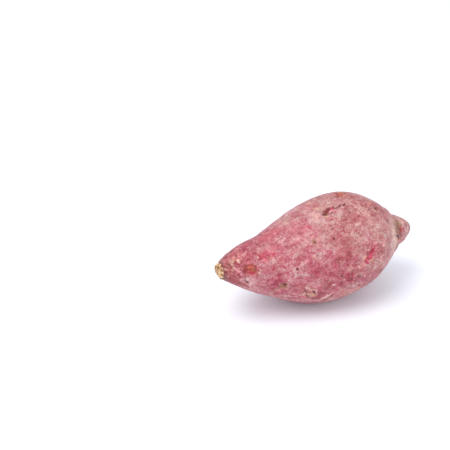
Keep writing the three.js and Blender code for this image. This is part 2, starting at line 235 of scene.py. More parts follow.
# Marks on the flank: kind, station along the root (mm), angle around it (0 = +Y, 90 = top,
# 180 = -Y), half length, half width (mm), turn from the long axis (deg), cover, height (mm).
MARKS = [
    ("red", -63.5, 108, 2.3, 1.9, 86, 0.75, 0), ("red", -62.7, 153, 2.4, 1.2, 66, 0.8, -0.08),
    ("red", -58.9, 100, 4.0, 3.0, -78, 0.6, 0), ("red", -53.7, 81, 4.6, 2.5, -31, 0.5, 0),
    ("tan", -65.1, 142, 1.9, 0.7, 16, 0.8, 0.12), ("dark", -62.4, 128, 0.7, 0.6, 24, 0.9, -0.25),
    ("tan", -60.5, 115, 1.1, 0.5, -32, 0.9, 0.2), ("orange", -58.7, 110, 1.0, 0.5, -51, 0.9, 0.15),
    ("tan", -57.1, 107, 0.9, 0.6, -23, 0.8, 0.15), ("tan", -60.8, 132, 0.7, 0.5, 18, 1, 0.25),
    ("dark", -56.5, 105, 0.7, 0.6, -85, 0.8, -0.15), ("dark", -63.7, 140, 0.5, 0.5, 28, 0.75, -0.1),
    ("maroon", -59.5, 139, 0.9, 0.5, -18, 0.7, -0.1), ("maroon", -60.5, 173, 0.7, 0.6, -6, 0.8, -0.15),
    ("maroon", -63.3, 160, 0.9, 0.5, -40, 0.6, -0.1), ("dark", -63.6, 210, 1.1, 0.8, 61, 0.7, -0.1),
    ("maroon", -66.3, 201, 2.3, 0.9, 62, 0.7, -0.1), ("olive", -54.8, 119, 0.9, 0.8, -74, 0.85, -0.15),
    ("dark", -53.7, 128, 0.8, 0.5, 59, 0.75, -0.15), ("cream", -56.6, 123, 0.6, 0.6, -77, 0.8, 0.2),
    ("pale", -50.4, 106, 3.2, 2.3, -18, 0.65, 0), ("dark", -44.9, 118, 0.8, 0.7, 15, 0.6, -0.1),
    ("cream", -43.4, 117, 0.8, 0.7, -58, 0.9, 0.1), ("red", -51.8, 154, 4.9, 3.4, 8, 0.9, -0.15),
    ("rust", -51.8, 154, 3.7, 2.8, 11, 1.1, 0.1), ("blood", -54.2, 157, 1.5, 1.1, 71, 0.85, -0.15),
    ("maroon", -52.1, 142, 1.6, 0.5, -7, 0.8, -0.15), ("maroon", -49.1, 143, 1.0, 0.4, 31, 0.7, -0.1),
    ("orange", -51.4, 150, 0.9, 0.4, -26, 0.7, 0.15), ("orange", -49.8, 154, 0.9, 0.5, 81, 0.6, 0.15),
    ("tan", -52.6, 149, 0.5, 0.3, 5, 0.6, 0.1), ("orange", -52.6, 159, 0.7, 0.4, 21, 0.6, 0.1),
    ("orange", -50.9, 158, 0.5, 0.4, -9, 0.6, 0.1), ("maroon", -51.6, 163, 1.0, 0.4, 14, 0.6, -0.1),
    ("crimson", -50.7, 165, 1.5, 0.8, 18, 0.9, -0.2), ("blood", -48.2, 151, 1.4, 0.5, 77, 0.7, -0.1),
    ("brown", -49.2, 154, 1.3, 0.7, 7, 0.7, 0), ("maroon", -53.7, 144, 1.7, 0.5, 56, 0.7, -0.15),
    ("maroon", -55.2, 158, 1.0, 1.0, 68, 0.7, -0.1), ("maroon", -47.2, 145, 1.3, 0.5, -15, 0.6, -0.1),
    ("maroon", -46.7, 157, 0.9, 0.5, 0, 0.55, -0.1), ("maroon", -47.5, 169, 1.4, 0.6, -15, 0.65, -0.1),
    ("pale", -52.1, 189, 3.6, 3.2, 23, 0.85, 0), ("dark", -54.1, 191, 1.2, 0.7, 52, 0.95, -0.3),
    ("dark", -52.8, 195, 0.9, 0.6, 73, 0.85, -0.2), ("dark", -55.1, 180, 0.8, 0.6, 26, 0.8, -0.2),
    ("pale", -57.2, 187, 2.0, 1.8, 79, 0.6, 0), ("maroon", -48.1, 185, 0.7, 0.5, 68, 0.6, -0.1),
    ("white", -53.7, 184, 1.3, 0.3, 39, 0.9, 0.15), ("white", -53.6, 185, 1.2, 0.3, -59, 0.9, 0.15),
    ("white", -51.8, 199, 1.4, 0.3, 89, 0.8, 0.12), ("crimson", -40.3, 122, 5.5, 3.8, -11, 0.55, 0),
    ("pink", -37.3, 121, 1.7, 1.5, 9, 0.85, 0), ("crimson", -43.4, 129, 2.0, 0.7, 72, 0.9, -0.1),
    ("crimson", -39.7, 128, 1.7, 0.6, -29, 0.8, -0.05), ("pink", -33.4, 113, 1.9, 1.0, -15, 0.6, 0),
    # the pale patches at station -34.0 (angle 100) and -23.5 (angle 103) are a painted highlight: a soft sheen on the
    # upper flank
    ("crimson", -34.4, 128, 1.3, 0.8, 16, 0.5, 0), ("pale", -34.0, 100, 4.0, 2.1, -18, 0.55, 0),
    ("pale", -23.5, 103, 5.0, 2.4, -8, 0.75, 0), ("pale", -29.1, 102, 2.5, 1.6, -4, 0.5, 0),
    # the crimson patch at station -30.2 (angle 82) is partly painted shade that darkens the upper flank, partly the
    # skin's own crimson
    ("crimson", -30.2, 82, 7.8, 4.3, -10, 0.62, 0), ("red", -35.5, 83, 5.8, 2.7, -20, 0.7, 0),
    ("crimson", -15.5, 106, 6.2, 3.4, -2, 0.5, 0), ("maroon", -20.3, 89, 5.8, 1.5, -5, 0.35, 0),
    ("pink", -16.6, 94, 3.1, 1.4, -2, 0.4, 0), ("olive", -32.0, 188, 2.9, 2.2, 17, 0.8, -0.35),
    ("brown", -32.4, 189, 2.5, 1.5, 24, 0.75, -0.1), ("dark", -32.2, 185, 1.0, 0.8, 39, 1, -0.7),
    ("olive", -35.5, 195, 2.8, 1.1, -66, 0.75, -0.1), ("olive", -37.8, 209, 3.5, 1.3, 89, 0.7, 0),
    ("red", -34.0, 201, 1.9, 1.2, -47, 0.7, 0), ("brown", -34.7, 192, 1.2, 0.8, 68, 0.6, -0.1),
    ("beige", -16.6, 196, 4.4, 3.1, 29, 0.45, 0.12), ("tan", -16.2, 201, 2.3, 1.3, 16, 0.95, 0.3),
    ("orange", -14.1, 204, 1.4, 1.0, 59, 0.9, 0.15), ("dark", -19.5, 194, 1.0, 0.8, 65, 1, -0.8),
    ("dark", -14.6, 196, 1.2, 0.8, 64, 1, -0.9), ("maroon", -14.8, 195, 0.8, 0.5, 69, 0.5, -0.2),
    ("cream", -13.0, 196, 2.3, 0.4, 75, 0.8, 0.4), ("cream", -15.7, 191, 1.2, 0.4, -21, 0.75, 0.35),
    ("tan", -20.1, 199, 1.4, 0.4, 36, 0.8, 0.35), ("red", -17.3, 194, 1.4, 1.0, 10, 0.6, 0),
    ("tan", -19.5, 186, 1.4, 0.6, 88, 0.9, 0.3), ("cream", -18.1, 190, 1.1, 0.3, 49, 0.6, 0.25),
    ("dark", -18.1, 204, 2.1, 0.6, 34, 0.95, -0.5), ("crimson", -19.7, 207, 1.1, 1.0, 25, 0.8, 0),
    ("olive", -15.7, 207, 1.3, 0.8, 2, 0.6, -0.1), ("maroon", -24.4, 159, 0.8, 0.7, 12, 1, -0.25),
    ("maroon", -27.3, 169, 0.9, 0.6, -27, 0.85, -0.1), ("dark", -28.3, 151, 0.7, 0.5, 8, 0.55, -0.1),
    ("olive", -22.7, 164, 0.8, 0.6, 10, 0.65, 0), ("rust", -32.0, 142, 1.9, 1.5, -1, 0.45, 0),
    ("rust", -37.8, 135, 1.7, 1.1, -11, 0.5, 0), ("orange", -30.2, 139, 0.8, 0.6, 12, 0.6, 0),
    ("tan", -13.0, 147, 1.2, 0.9, 15, 0.5, 0), ("dark", -7.8, 151, 0.6, 0.5, 15, 0.65, -0.1),
    ("dark", -8.7, 160, 0.6, 0.5, 19, 0.65, -0.1), ("pink", -10.1, 175, 1.5, 1.1, 17, 0.7, 0),
    ("pink", -18.8, 151, 2.1, 1.2, -8, 0.35, 0), ("pink", -14.4, 184, 2.4, 1.4, -14, 0.4, 0),
    ("pale", -24.2, 132, 2.4, 1.9, -8, 0.45, 0), ("pale", -18.6, 140, 2.2, 1.6, 14, 0.5, 0),
    ("brown", 5.1, 98, 4.3, 2.0, -32, 0.75, -1.1), ("maroon", 6.6, 96, 3.3, 1.3, -30, 0.85, -0.2),
    ("crimson", 8.9, 97, 2.7, 1.1, -23, 0.9, -0.1), ("dark", 3.1, 100, 1.4, 0.9, -26, 0.8, -0.25),
    ("dark", 7.7, 95, 1.7, 0.9, -7, 0.8, -0.25), ("brown", 4.8, 102, 1.4, 0.9, -16, 0.8, -0.15),
    ("pink", 9.1, 99, 1.6, 1.1, -38, 1, 0.15), ("white", 7.7, 100, 0.8, 0.7, 36, 0.8, 0.3),
    ("tan", 4.2, 105, 1.8, 0.7, 36, 0.95, 0.35), ("white", 1.7, 99, 1.4, 0.4, -47, 0.8, 0.3),
    ("white", 7.3, 105, 1.6, 0.5, -21, 0.6, 0.2), ("maroon", 11.6, 96, 1.4, 0.9, -12, 1, -0.3),
    ("maroon", 8.1, 103, 1.3, 0.7, -26, 0.75, -0.1), ("maroon", 14.7, 97, 1.6, 1.0, -5, 1, -0.3),
    ("maroon", 18.4, 97, 1.7, 0.7, -38, 1, -0.3), ("cream", 13.9, 95, 1.0, 0.4, -27, 0.8, 0.2),
    ("cream", 14.9, 101, 1.0, 0.4, -5, 0.8, 0.2), ("cream", 20.2, 96, 1.0, 0.3, -44, 0.8, 0.2),
    ("maroon", 21.7, 96, 0.8, 0.6, -46, 0.7, -0.2), ("white", 12.0, 97, 1.0, 0.5, -54, 0.8, 0.25),
    ("white", 15.7, 100, 0.9, 0.5, 89, 0.8, 0.25), ("maroon", 12.2, 99, 0.8, 0.6, -31, 0.6, -0.1),
    ("tan", 1.5, 71, 2.4, 1.5, 67, 0.85, -0.12), ("tan", 2.0, 88, 2.6, 1.2, 29, 0.85, -0.2),
    ("red", 3.1, 85, 2.3, 0.7, 31, 0.75, -0.15), ("red", -2.3, 79, 2.9, 1.1, 70, 0.6, 0),
    ("red", 3.1, 77, 1.5, 0.9, 36, 0.5, 0), ("red", 11.6, 77, 2.8, 1.6, -24, 0.4, 0),
    ("beige", -2.3, 99, 4.0, 2.8, -62, 0.95, 0), ("pale", -5.2, 84, 3.4, 2.0, 7, 0.75, 0),
    ("pale", 6.8, 84, 3.1, 1.3, -24, 0.5, 0), ("rust", 22.9, 74, 4.2, 3.7, 71, 1, 0.25),
    ("orange", 24.1, 73, 2.3, 1.9, -86, 0.7, 0.1), ("dark", 21.3, 72, 1.2, 0.9, -68, 0.6, -0.1),
    ("tan", 23.9, 68, 1.2, 0.8, -42, 0.6, 0.1), ("brown", 25.4, 74, 2.4, 1.2, -61, 0.7, 0.1),
    ("dark", 18.4, 79, 1.7, 0.9, 53, 0.85, -0.2), ("white", 23.3, 64, 1.7, 1.3, 87, 0.8, 0.2),
    ("beige", 23.5, 80, 1.2, 1.0, -45, 0.6, 0.2), ("mauve", 15.7, 88, 2.7, 2.5, 54, 0.65, 0),
    ("beige", 16.3, 80, 2.5, 1.6, 34, 0.6, 0), ("pink", -8.1, 121, 2.1, 1.4, 0, 0.75, 0),
    ("olive", -10.3, 130, 1.6, 1.3, 59, 0.9, -0.45), ("dark", -10.3, 130, 0.8, 0.6, 67, 0.95, -0.35),
    ("brown", -10.6, 128, 0.7, 0.6, 21, 0.7, -0.1), ("orange", -7.4, 129, 1.1, 0.9, 18, 0.4, 0),
    ("crimson", -9.0, 111, 2.2, 0.8, 73, 0.8, -0.1), ("pink", -10.1, 104, 1.6, 0.6, 80, 0.6, 0),
    ("maroon", 1.7, 135, 0.8, 0.7, 71, 1, -0.3), ("maroon", 3.5, 122, 0.9, 0.8, 10, 0.75, -0.1),
    ("maroon", -16.2, 111, 0.7, 0.6, -69, 0.8, -0.1), ("maroon", -11.7, 94, 0.8, 0.6, 79, 0.65, -0.1),
    ("olive", 3.3, 143, 0.9, 0.7, 11, 0.9, -0.3), ("olive", 1.3, 129, 0.7, 0.6, 7, 0.6, 0),
    ("red", 10.6, 132, 1.4, 1.1, 13, 0.5, 0), ("beige", 26.4, 108, 4.5, 3.2, -88, 0.85, 0),
    ("beige", 27.7, 120, 1.9, 1.6, 23, 0.75, 0), ("beige", 22.7, 97, 3.2, 2.5, 64, 0.75, 0),
    ("orange", 34.2, 104, 2.5, 0.8, -51, 0.95, 0.12), ("dark", 31.8, 113, 1.7, 0.6, -52, 0.9, -0.3),
    ("maroon", 29.9, 118, 1.0, 0.4, -48, 0.5, -0.1), ("olive", 37.7, 112, 2.2, 1.7, -71, 0.85, -0.3),
    ("dark", 38.1, 111, 1.8, 1.1, 88, 0.9, -0.5), ("tan", 35.6, 116, 1.2, 0.8, 14, 0.9, 0.3),
    ("white", 40.7, 106, 1.4, 0.8, -81, 0.5, 0.2), ("red", 19.6, 120, 3.2, 1.2, -51, 0.65, -0.1),
    ("red", 25.0, 122, 3.4, 1.6, -43, 0.55, -0.1), ("maroon", 22.1, 109, 1.3, 0.6, 15, 0.75, -0.1),
    ("red", 36.6, 128, 3.3, 1.8, -20, 0.45, 0), ("maroon", 34.2, 121, 1.3, 0.8, -20, 0.65, 0),
    ("maroon", 36.3, 123, 1.1, 0.6, -25, 0.5, 0), ("red", 44.8, 123, 4.5, 1.7, -24, 0.55, 0),
    ("dark", 43.4, 133, 1.7, 0.7, -16, 0.95, -0.3), ("orange", 36.0, 137, 1.3, 0.7, -4, 0.65, 0),
    ("olive", 35.3, 144, 1.6, 0.6, 10, 0.6, -0.1), ("dark", 36.0, 148, 1.0, 0.4, 9, 0.5, -0.05),
    ("maroon", 20.2, 132, 1.0, 0.7, 13, 0.5, -0.05), ("red", 53.7, 86, 2.0, 1.0, -50, 0.6, 0),
    ("maroon", 55.9, 84, 1.8, 0.9, -58, 0.7, -0.1), ("pale", 29.2, 131, 2.4, 1.8, -23, 0.45, 0),
    # the olive patch at station 53.0 and the brown one at 54.1 are painted shade: the olive-brown of the shaded crease
    # between the shoulder and the nub
    ("pale", 33.0, 109, 2.3, 1.4, -31, 0.3, 0), ("olive", 53.0, 144, 6.5, 4.8, -4, 1.15, -0.2),
    ("brown", 54.1, 150, 4.2, 3.2, 21, 1, -0.15), ("olive", 49.6, 161, 2.7, 2.1, 25, 0.7, -0.1),
    ("brown", 51.6, 161, 2.3, 1.8, 47, 0.7, -0.15), ("crimson", 57.2, 156, 2.0, 1.2, -25, 0.6, 0),
    ("black", 52.3, 171, 3.1, 1.5, 15, 1, -0.7), ("black", 52.3, 172, 2.2, 1.0, 21, 1, -0.2),
    ("orange", 52.5, 183, 3.6, 1.5, 30, 0.8, 0), ("olive", 50.7, 186, 4.5, 2.0, 34, 0.95, -0.2),
    ("pink", 57.9, 199, 2.7, 1.4, 57, 0.6, 0), ("mauve", 59.1, 185, 2.9, 1.2, 71, 0.6, 0),
    ("beige", 59.0, 121, 2.6, 1.4, -25, 0.8, 0), ("cream", 59.7, 128, 1.2, 0.5, -25, 0.6, 0.1),
    ("mauve", 61.1, 144, 2.6, 1.6, -75, 0.6, 0), ("maroon", 62.3, 132, 2.7, 0.7, -64, 0.55, 0),
    ("mauve", 57.8, 169, 1.9, 1.5, 36, 0.5, 0), ("brown", 55.1, 124, 2.7, 1.2, -24, 0.6, -0.1),
    ("beige", 42.9, 146, 4.7, 2.2, -27, 0.5, 0), ("cream", 45.8, 156, 4.8, 1.6, -39, 0.75, 0.1),
    ("cream", 46.7, 171, 3.5, 2.1, 77, 0.75, 0.1), ("beige", 47.8, 135, 4.5, 1.5, -17, 0.6, 0.05),
    ("cream", 43.7, 185, 7.2, 1.0, 55, 0.5, 0.08), ("olive", 45.2, 144, 2.7, 1.1, -29, 0.35, 0),
    ("pink", 26.8, 158, 3.2, 0.6, -90, 0.9, -0.12), ("cream", 29.8, 153, 3.4, 0.5, -82, 0.6, 0.12),
    ("cream", 33.8, 158, 3.9, 0.6, -73, 0.45, 0.1), ("mauve", 31.0, 159, 3.7, 0.7, -80, 0.5, -0.1),
    ("cream", 39.5, 156, 3.7, 0.6, -80, 0.5, 0.1), ("pale", 35.2, 171, 3.5, 0.8, -46, 0.5, 0.1),
    ("cream", 28.3, 180, 3.7, 0.7, -34, 0.5, 0.1), ("white", 28.1, 157, 2.6, 0.5, 88, 0.55, 0.2),
    ("red", 23.3, 151, 2.0, 0.8, -77, 1, -0.3), ("cream", 21.1, 150, 1.0, 0.8, 12, 0.65, 0.1),
    ("pink", 33.3, 160, 1.4, 0.7, 7, 0.75, 0), ("maroon", 39.6, 163, 1.3, 0.6, 18, 0.55, 0),
    ("maroon", 26.6, 150, 0.9, 0.7, 12, 0.55, -0.05), ("pink", 26.0, 144, 1.7, 0.7, -8, 0.5, 0),
    ("crimson", 23.7, 165, 2.7, 1.9, -39, 1, -0.35), ("crimson", 21.3, 169, 2.7, 1.8, -23, 1, -0.35),
    ("blood", 24.6, 163, 1.2, 1.1, 8, 0.7, -0.2), ("crimson", 19.4, 173, 1.5, 1.1, 11, 0.85, -0.2),
    ("pink", 21.5, 168, 1.1, 0.9, -30, 0.7, 0), ("tan", 17.7, 167, 2.0, 0.6, -33, 0.85, 0.2),
    ("tan", 22.5, 173, 1.3, 0.5, 8, 0.75, 0.2), ("orange", 16.3, 175, 1.5, 1.2, 37, 0.75, 0),
    ("maroon", 19.8, 163, 0.9, 0.7, -6, 0.8, -0.1), ("maroon", 26.6, 167, 1.0, 0.5, -68, 0.6, -0.1),
    ("cream", 21.5, 161, 0.9, 0.5, -12, 0.6, 0.15), ("maroon", 12.9, 168, 1.1, 0.5, 3, 0.85, -0.1),
    ("white", 12.0, 169, 1.2, 0.4, 2, 0.5, 0.12), ("tan", 7.3, 172, 1.8, 1.6, 83, 0.55, 0),
    ("blood", 6.6, 183, 3.3, 1.9, 53, 0.95, -0.3), ("blood", 5.1, 178, 1.3, 1.0, 81, 0.95, -0.2),
    ("blood", 9.1, 181, 1.4, 1.0, -88, 0.9, -0.2), ("crimson", 5.1, 179, 0.8, 0.6, 59, 0.7, -0.1),
    ("crimson", 8.7, 180, 0.8, 0.6, 69, 0.7, -0.1), ("blood", 5.3, 186, 1.3, 0.8, 38, 0.85, -0.2),
    ("blood", 9.1, 188, 1.1, 0.8, 30, 0.8, -0.2), ("maroon", 7.0, 185, 1.5, 0.7, 51, 0.5, -0.1),
    ("maroon", 13.3, 186, 1.6, 0.7, 53, 1, -0.3), ("maroon", 1.3, 178, 1.2, 0.8, 45, 0.95, -0.25),
    ("maroon", 1.3, 187, 1.0, 0.8, 57, 1, -0.3), ("maroon", 11.0, 191, 1.2, 0.6, 72, 0.9, -0.2),
    ("maroon", 13.9, 194, 1.2, 0.6, 60, 0.85, -0.2), ("maroon", 8.7, 192, 1.0, 0.6, 59, 0.9, -0.2),
    ("dark", 9.5, 198, 1.2, 0.6, 63, 0.95, -0.2), ("dark", 8.1, 199, 0.8, 0.4, 57, 0.8, -0.1),
    ("maroon", 15.3, 202, 1.5, 1.1, 54, 0.85, -0.1), ("maroon", 4.6, 193, 1.0, 0.7, 50, 0.8, -0.15),
    ("maroon", 0.8, 182, 0.9, 0.4, 19, 0.65, -0.1), ("white", 10.4, 197, 1.1, 0.9, 57, 0.7, 0.12),
    ("white", -3.6, 186, 1.1, 0.6, 20, 0.85, 0.12), ("beige", 16.7, 187, 2.8, 1.6, 47, 0.65, 0),
    ("brown", 30.9, 197, 2.5, 2.2, 77, 0.95, -0.25), ("maroon", 31.9, 196, 1.6, 1.0, 51, 0.8, -0.1),
    ("brown", 23.9, 198, 1.4, 0.9, 73, 0.9, -0.2), ("maroon", 21.1, 200, 2.6, 0.7, 58, 0.85, 0),
    ("orange", 16.5, 208, 2.7, 1.4, 43, 0.85, 0.1), ("orange", 4.0, 204, 2.0, 1.4, 13, 0.85, 0.1),
    ("brown", 8.9, 211, 1.9, 1.3, 51, 0.75, 0), ("brown", -3.0, 209, 2.9, 0.9, -65, 0.85, -0.2),
    ("cream", -5.6, 206, 2.0, 0.9, -48, 0.6, 0.15), ("crimson", -0.7, 196, 1.4, 0.9, -82, 0.75, 0),
    ("red", -4.3, 179, 2.5, 1.7, -5, 0.35, 0), ("orange", 8.3, 209, 7.4, 2.6, -16, 0.6, 0),
    ("beige", 12.6, 212, 4.4, 2.7, -30, 0.7, 0.05), ("beige", -0.1, 213, 3.8, 2.3, -41, 0.6, 0.05),
    ("cream", -6.5, 207, 4.8, 0.9, -48, 0.8, 0.2), ("cream", -10.8, 215, 2.5, 1.1, -22, 0.6, 0.12),
    ("maroon", -5.2, 218, 2.1, 1.6, -57, 0.8, -0.12), ("maroon", -2.3, 206, 2.2, 0.9, -57, 0.8, -0.12),
    ("beige", -19.7, 220, 6.3, 2.9, -8, 0.7, 0.05), ("pink", -19.9, 208, 1.6, 1.1, -25, 0.7, 0),
    ("beige", -32.6, 224, 6.0, 2.5, 1, 0.6, 0.05), ("beige", -50.5, 217, 5.1, 1.8, -1, 0.5, 0.05),
    ("beige", -40.6, 219, 4.5, 1.5, 14, 0.4, 0),
]


def clustered_marks():
    rng = np.random.default_rng(61)
    made = []
    for x, a, half, width, turn, kinds, count, sizes, aspects, spread, strength, height in CLUSTERS:
        kinds = kinds.split()
        ca, sa = math.cos(math.radians(turn)), math.sin(math.radians(turn))
        girth = max(float(np.interp(x, ring_x, ring_r)), 4.0)
        for _ in range(count):
            d, th = math.sqrt(rng.uniform(0, 1)) * 1.05, rng.uniform(0, 2 * math.pi)
            p, q = half * d * math.cos(th), width * d * math.sin(th)
            s = rng.uniform(*sizes)
            made.append((kinds[int(rng.integers(len(kinds)))], x + p * ca - q * sa,
                         a - math.degrees((p * sa + q * ca) / girth), s * rng.uniform(*aspects), s * 0.8,
                         turn + rng.uniform(-spread, spread), strength * rng.uniform(0.6, 1.0), height * rng.uniform(0.3, 1.2)))
    return made


def strewn_marks():
    """Fine specks all over the root."""
    rng = np.random.default_rng(44)
    made = []
    for _ in range(420):
        x, a = rng.uniform(-63, 63), rng.uniform(0, 360)
        s = rng.uniform(0.28, 0.55) if rng.uniform() < 0.8 else rng.uniform(0.5, 0.9)
        kind = ("maroon", "red", "maroon", "cream", "pale", "beige", "olive", "tan", "pink")[int(rng.integers(9))]
        made.append((kind, x, a, s * rng.uniform(1, 2.4), s * 0.85, rng.uniform(-90, 90), rng.uniform(0.3, 0.75),
                     rng.uniform(-0.12, 0.08)))
    for _ in range(300):
        s = rng.uniform(0.16, 0.42)
        made.append((("maroon", "maroon", "crimson", "brown")[int(rng.integers(4))], rng.uniform(-62, 60), rng.uniform(0, 360),
                     s * rng.uniform(1, 2.0), s * 0.9, rng.uniform(-90, 90), rng.uniform(0.45, 0.95), -0.12))
    return made


def hidden_marks():
    """Marks of the same kinds, strewn over the flank away from the listed ones."""
    rng = np.random.default_rng(20)
    made = []

    def place():
        while True:
            x, a = rng.uniform(-62, 58), rng.uniform(0, 360)
            lo = 236 - 10 * math.cos(x / 40)
            hi = 76 + 8 * math.sin(x / 35)
            if a > lo or a < hi:
                return x, a

    for _ in range(46):                                # dark red specks
        x, a = place()
        s = rng.uniform(0.4, 0.9)
        made.append(("maroon", x, a, s * rng.uniform(1, 1.8), s, rng.uniform(-90, 90), rng.uniform(0.6, 1), -0.2))
    for _ in range(16):                                # small corky flecks
        x, a = place()
        s = rng.uniform(0.4, 0.8)
        made.append((("white", "tan", "cream")[int(rng.integers(3))], x, a, s * rng.uniform(1.2, 3), s, rng.normal(0, 35), 0.8, 0.2))
    for _ in range(9):                                 # rubbed patches, each of a few ragged pieces
        x, a = place()
        tone = ("red", "crimson", "rust", "maroon")[int(rng.integers(4))]
        for _ in range(int(rng.integers(4, 8))):
            s = rng.uniform(0.5, 1.4)
            made.append((tone, x + rng.normal(0, 1.9), a + rng.normal(0, 2.6), s * rng.uniform(1, 2.4), s, rng.normal(0, 50), rng.uniform(0.35, 0.7), -0.06))
    for _ in range(12):                                # dusty patches
        x, a = place()
        tone = ("pale", "beige", "mauve")[int(rng.integers(3))]
        for _ in range(4):
            s = rng.uniform(0.9, 2.2)
            made.append((tone, x + rng.normal(0, 2.2), a + rng.normal(0, 3.2), s * rng.uniform(1.1, 2.2), s, rng.normal(0, 40), rng.uniform(0.25, 0.5), 0))
    for x, a, k in ((-41, 20, 1.0), (-12, 42, 1.3), (17, 8, 0.7), (37, 52, 0.9), (-27, 330, 1.1), (3, 352, 0.6),
                    (29, 318, 1.2), (-50, 282, 0.7), (-4, 262, 1.0), (21, 246, 0.6), (46, 285, 0.8), (-34, 64, 0.8)):
        # rootlet scars: a slit or a round pit, some with a corky lip, some nearly healed
        t = 80 + rng.normal(0, 22)
        deep = rng.uniform(0.35, 1.0)
        long = rng.uniform(0.7, 1.5)
        made += [(("olive", "maroon", "brown")[int(rng.integers(3))], x + rng.normal(0, 0.4), a, 1.9 * k * long, 1.2 * k, t, 0.35 + 0.35 * deep, -0.3 * deep),
                 ("dark", x, a, 1.3 * k * long, rng.uniform(0.35, 0.7) * k, t + 4, 0.5 + 0.45 * deep, -0.6 * deep)]
        if rng.uniform() < 0.6:
            made.append((("tan", "cream", "orange")[int(rng.integers(3))], x + rng.uniform(0.7, 1.3) * k, a + rng.normal(0, 1.0),
                         rng.uniform(0.6, 1.6) * k, 0.35 * k, t + rng.normal(0, 15), 0.75, 0.2))
        for _ in range(int(rng.integers(0, 3))):       # wrinkles that run on from the scar
            made.append(("maroon", x + rng.normal(0, 0.7), a + rng.choice((-1, 1)) * rng.uniform(2.4, 4.5) * k, 1.3 * k, 0.3, t + rng.normal(0, 12), 0.5, -0.18))
    # one scraped patch and one long healed scar on the far side
    for dx, da, half, width, turn, tone in ((-3.5, -2, 2.6, 1.0, 30, "red"), (0, 0, 3.4, 1.3, 18, "red"), (3.4, 1.5, 2.4, 1.1, 5, "rust"),
                                            (-1, 3, 2.2, 0.7, 24, "maroon"), (2, -3, 2.0, 0.6, 12, "crimson"), (1.0, 0.6, 1.9, 0.6, 22, "orange"),
                                            (3.2, 1.2, 1.2, 0.5, 2, "tan"), (-3.0, -1.8, 1.1, 0.4, 35, "tan"), (5.6, 2.6, 1.2, 0.5, -12, "red")):
        made.append((tone, 8 + dx, 28 + da, half, width, turn, 0.7, 0.06 if tone in ("orange", "tan") else -0.14))
    for dx, da, half, turn, tone in ((-4.6, -1.2, 1.8, 16, "tan"), (-2.0, 0, 1.9, 8, "tan"), (1.2, 0.6, 1.6, 20, "brown"), (3.6, 1.7, 1.7, 9, "tan"), (5.8, 2.0, 1.0, 2, "beige")):
        made.append((tone, -22 + dx, 8 + da, half, 0.55, turn, 0.75, -0.28))
        made.append(("brown", -22 + dx, 10.4 + da, half * 0.8, 0.3, turn + 4, 0.5, -0.12))
    for dx, da, half, width, turn in ((0, 0, 2.2, 0.8, -35), (-1.6, -2.4, 1.4, 0.6, -20), (1.7, 2.0, 1.2, 0.5, -50), (0.8, -1.6, 0.9, 0.4, 10)):
        made.append(("crimson", 33 + dx, 345 + da, half, width, turn, 0.75, -0.2))
    made.append(("tan", 31, 341, 1.8, 0.4, -35, 0.75, 0.2))
    return made


cover = np.zeros(X.shape)
tint = np.broadcast_to(linear((200, 135, 140)), X.shape + (3,)).copy()
relief = np.zeros(X.shape)
ragged = fbm(P, 1.9, 2, 31)
ragged_fine = fbm(P, 0.9, 1, 33)

for kind, mx, ma, half, width, turn, strength, height in hidden_marks() + strewn_marks() + clustered_marks() + MARKS:
    ma = math.radians(ma % 360)
    i = int(np.abs(ring_x - mx).argmin())
    j = int(round(ma / (2 * np.pi) * COLUMNS)) % COLUMNS
    c, n = P[i, j], NRM[i, j]
    e1 = along[i, j] / np.linalg.norm(along[i, j])
    e2 = around[i, j] - e1 * (around[i, j] @ e1)
    e2 /= np.linalg.norm(e2)
    reach = int(max(half, width) * 2.2 / 0.25) + 3
    i0, i1 = max(i - reach, 0), min(i + reach, len(ring_x) - 1)
    d = P[i0:i1 + 1] - c
    u, v = d @ e1, d @ e2
    near = (np.abs(d @ n) < 6) & ((NRM[i0:i1 + 1] @ n) > 0.1)
    grow = 0.24 if kind in ("maroon", "crimson", "black") and half < 2 else 0.1
    half, width = half * 1.12 + grow, width * 1.12 + (grow if width > 0.6 else 0.05)
    strength *= VEIL.get(kind, 1.0)
    ca, sa = math.cos(math.radians(turn)), math.sin(math.radians(turn))
    p, q = (u * ca + v * sa) / half, (-u * sa + v * ca) / width
    size = min(half, width)
    rough = ragged[i0:i1 + 1] * min(1.6, 0.5 + 0.4 * size) + ragged_fine[i0:i1 + 1] * 0.5
    dist = np.hypot(p, q) + rough * (1.0 if size > 1.2 else 0.6)
    soft = EDGE.get(kind, 1.0)
    edge = (0.55 if size > 1 else 0.75) * soft
    w = np.where(near, strength * (1 - smooth(1.12 - edge, 1.12 + 0.45 * edge, dist)), 0)
    shade = INK[kind]
    col = linear(shade) * 0.76
    tint[i0:i1 + 1] = tint[i0:i1 + 1] * (1 - w[..., None]) + col * w[..., None]
    cover[i0:i1 + 1] = 1 - (1 - cover[i0:i1 + 1]) * (1 - w)
    if height:
        bell = np.where(near, np.exp(-np.minimum(dist, 6) ** 2 * 1.1), 0)
        relief[i0:i1 + 1] += height * bell
        if height < -0.4:                              # a pit pushes up a lip around it
            relief[i0:i1 + 1] += np.where(near, -0.28 * height * np.exp(-((dist - 1.7) / 0.5) ** 2), 0)

# ------------------------------------------------------------------ relief of the skin

taper_left = np.exp(-((X + 66) / 15) ** 2)
taper_right = np.exp(-((X - 58) / 11) ** 2)
stretched = LOCAL * np.array([1 / 13, 1 / 2.4, 1 / 2.4])
ring_folds = LOCAL * np.array([1 / 2.6, 1 / 13, 1 / 13])
skin_on = smooth(-65.6, -64.4, X) * (1 - smooth(65.2, 66.4, X))

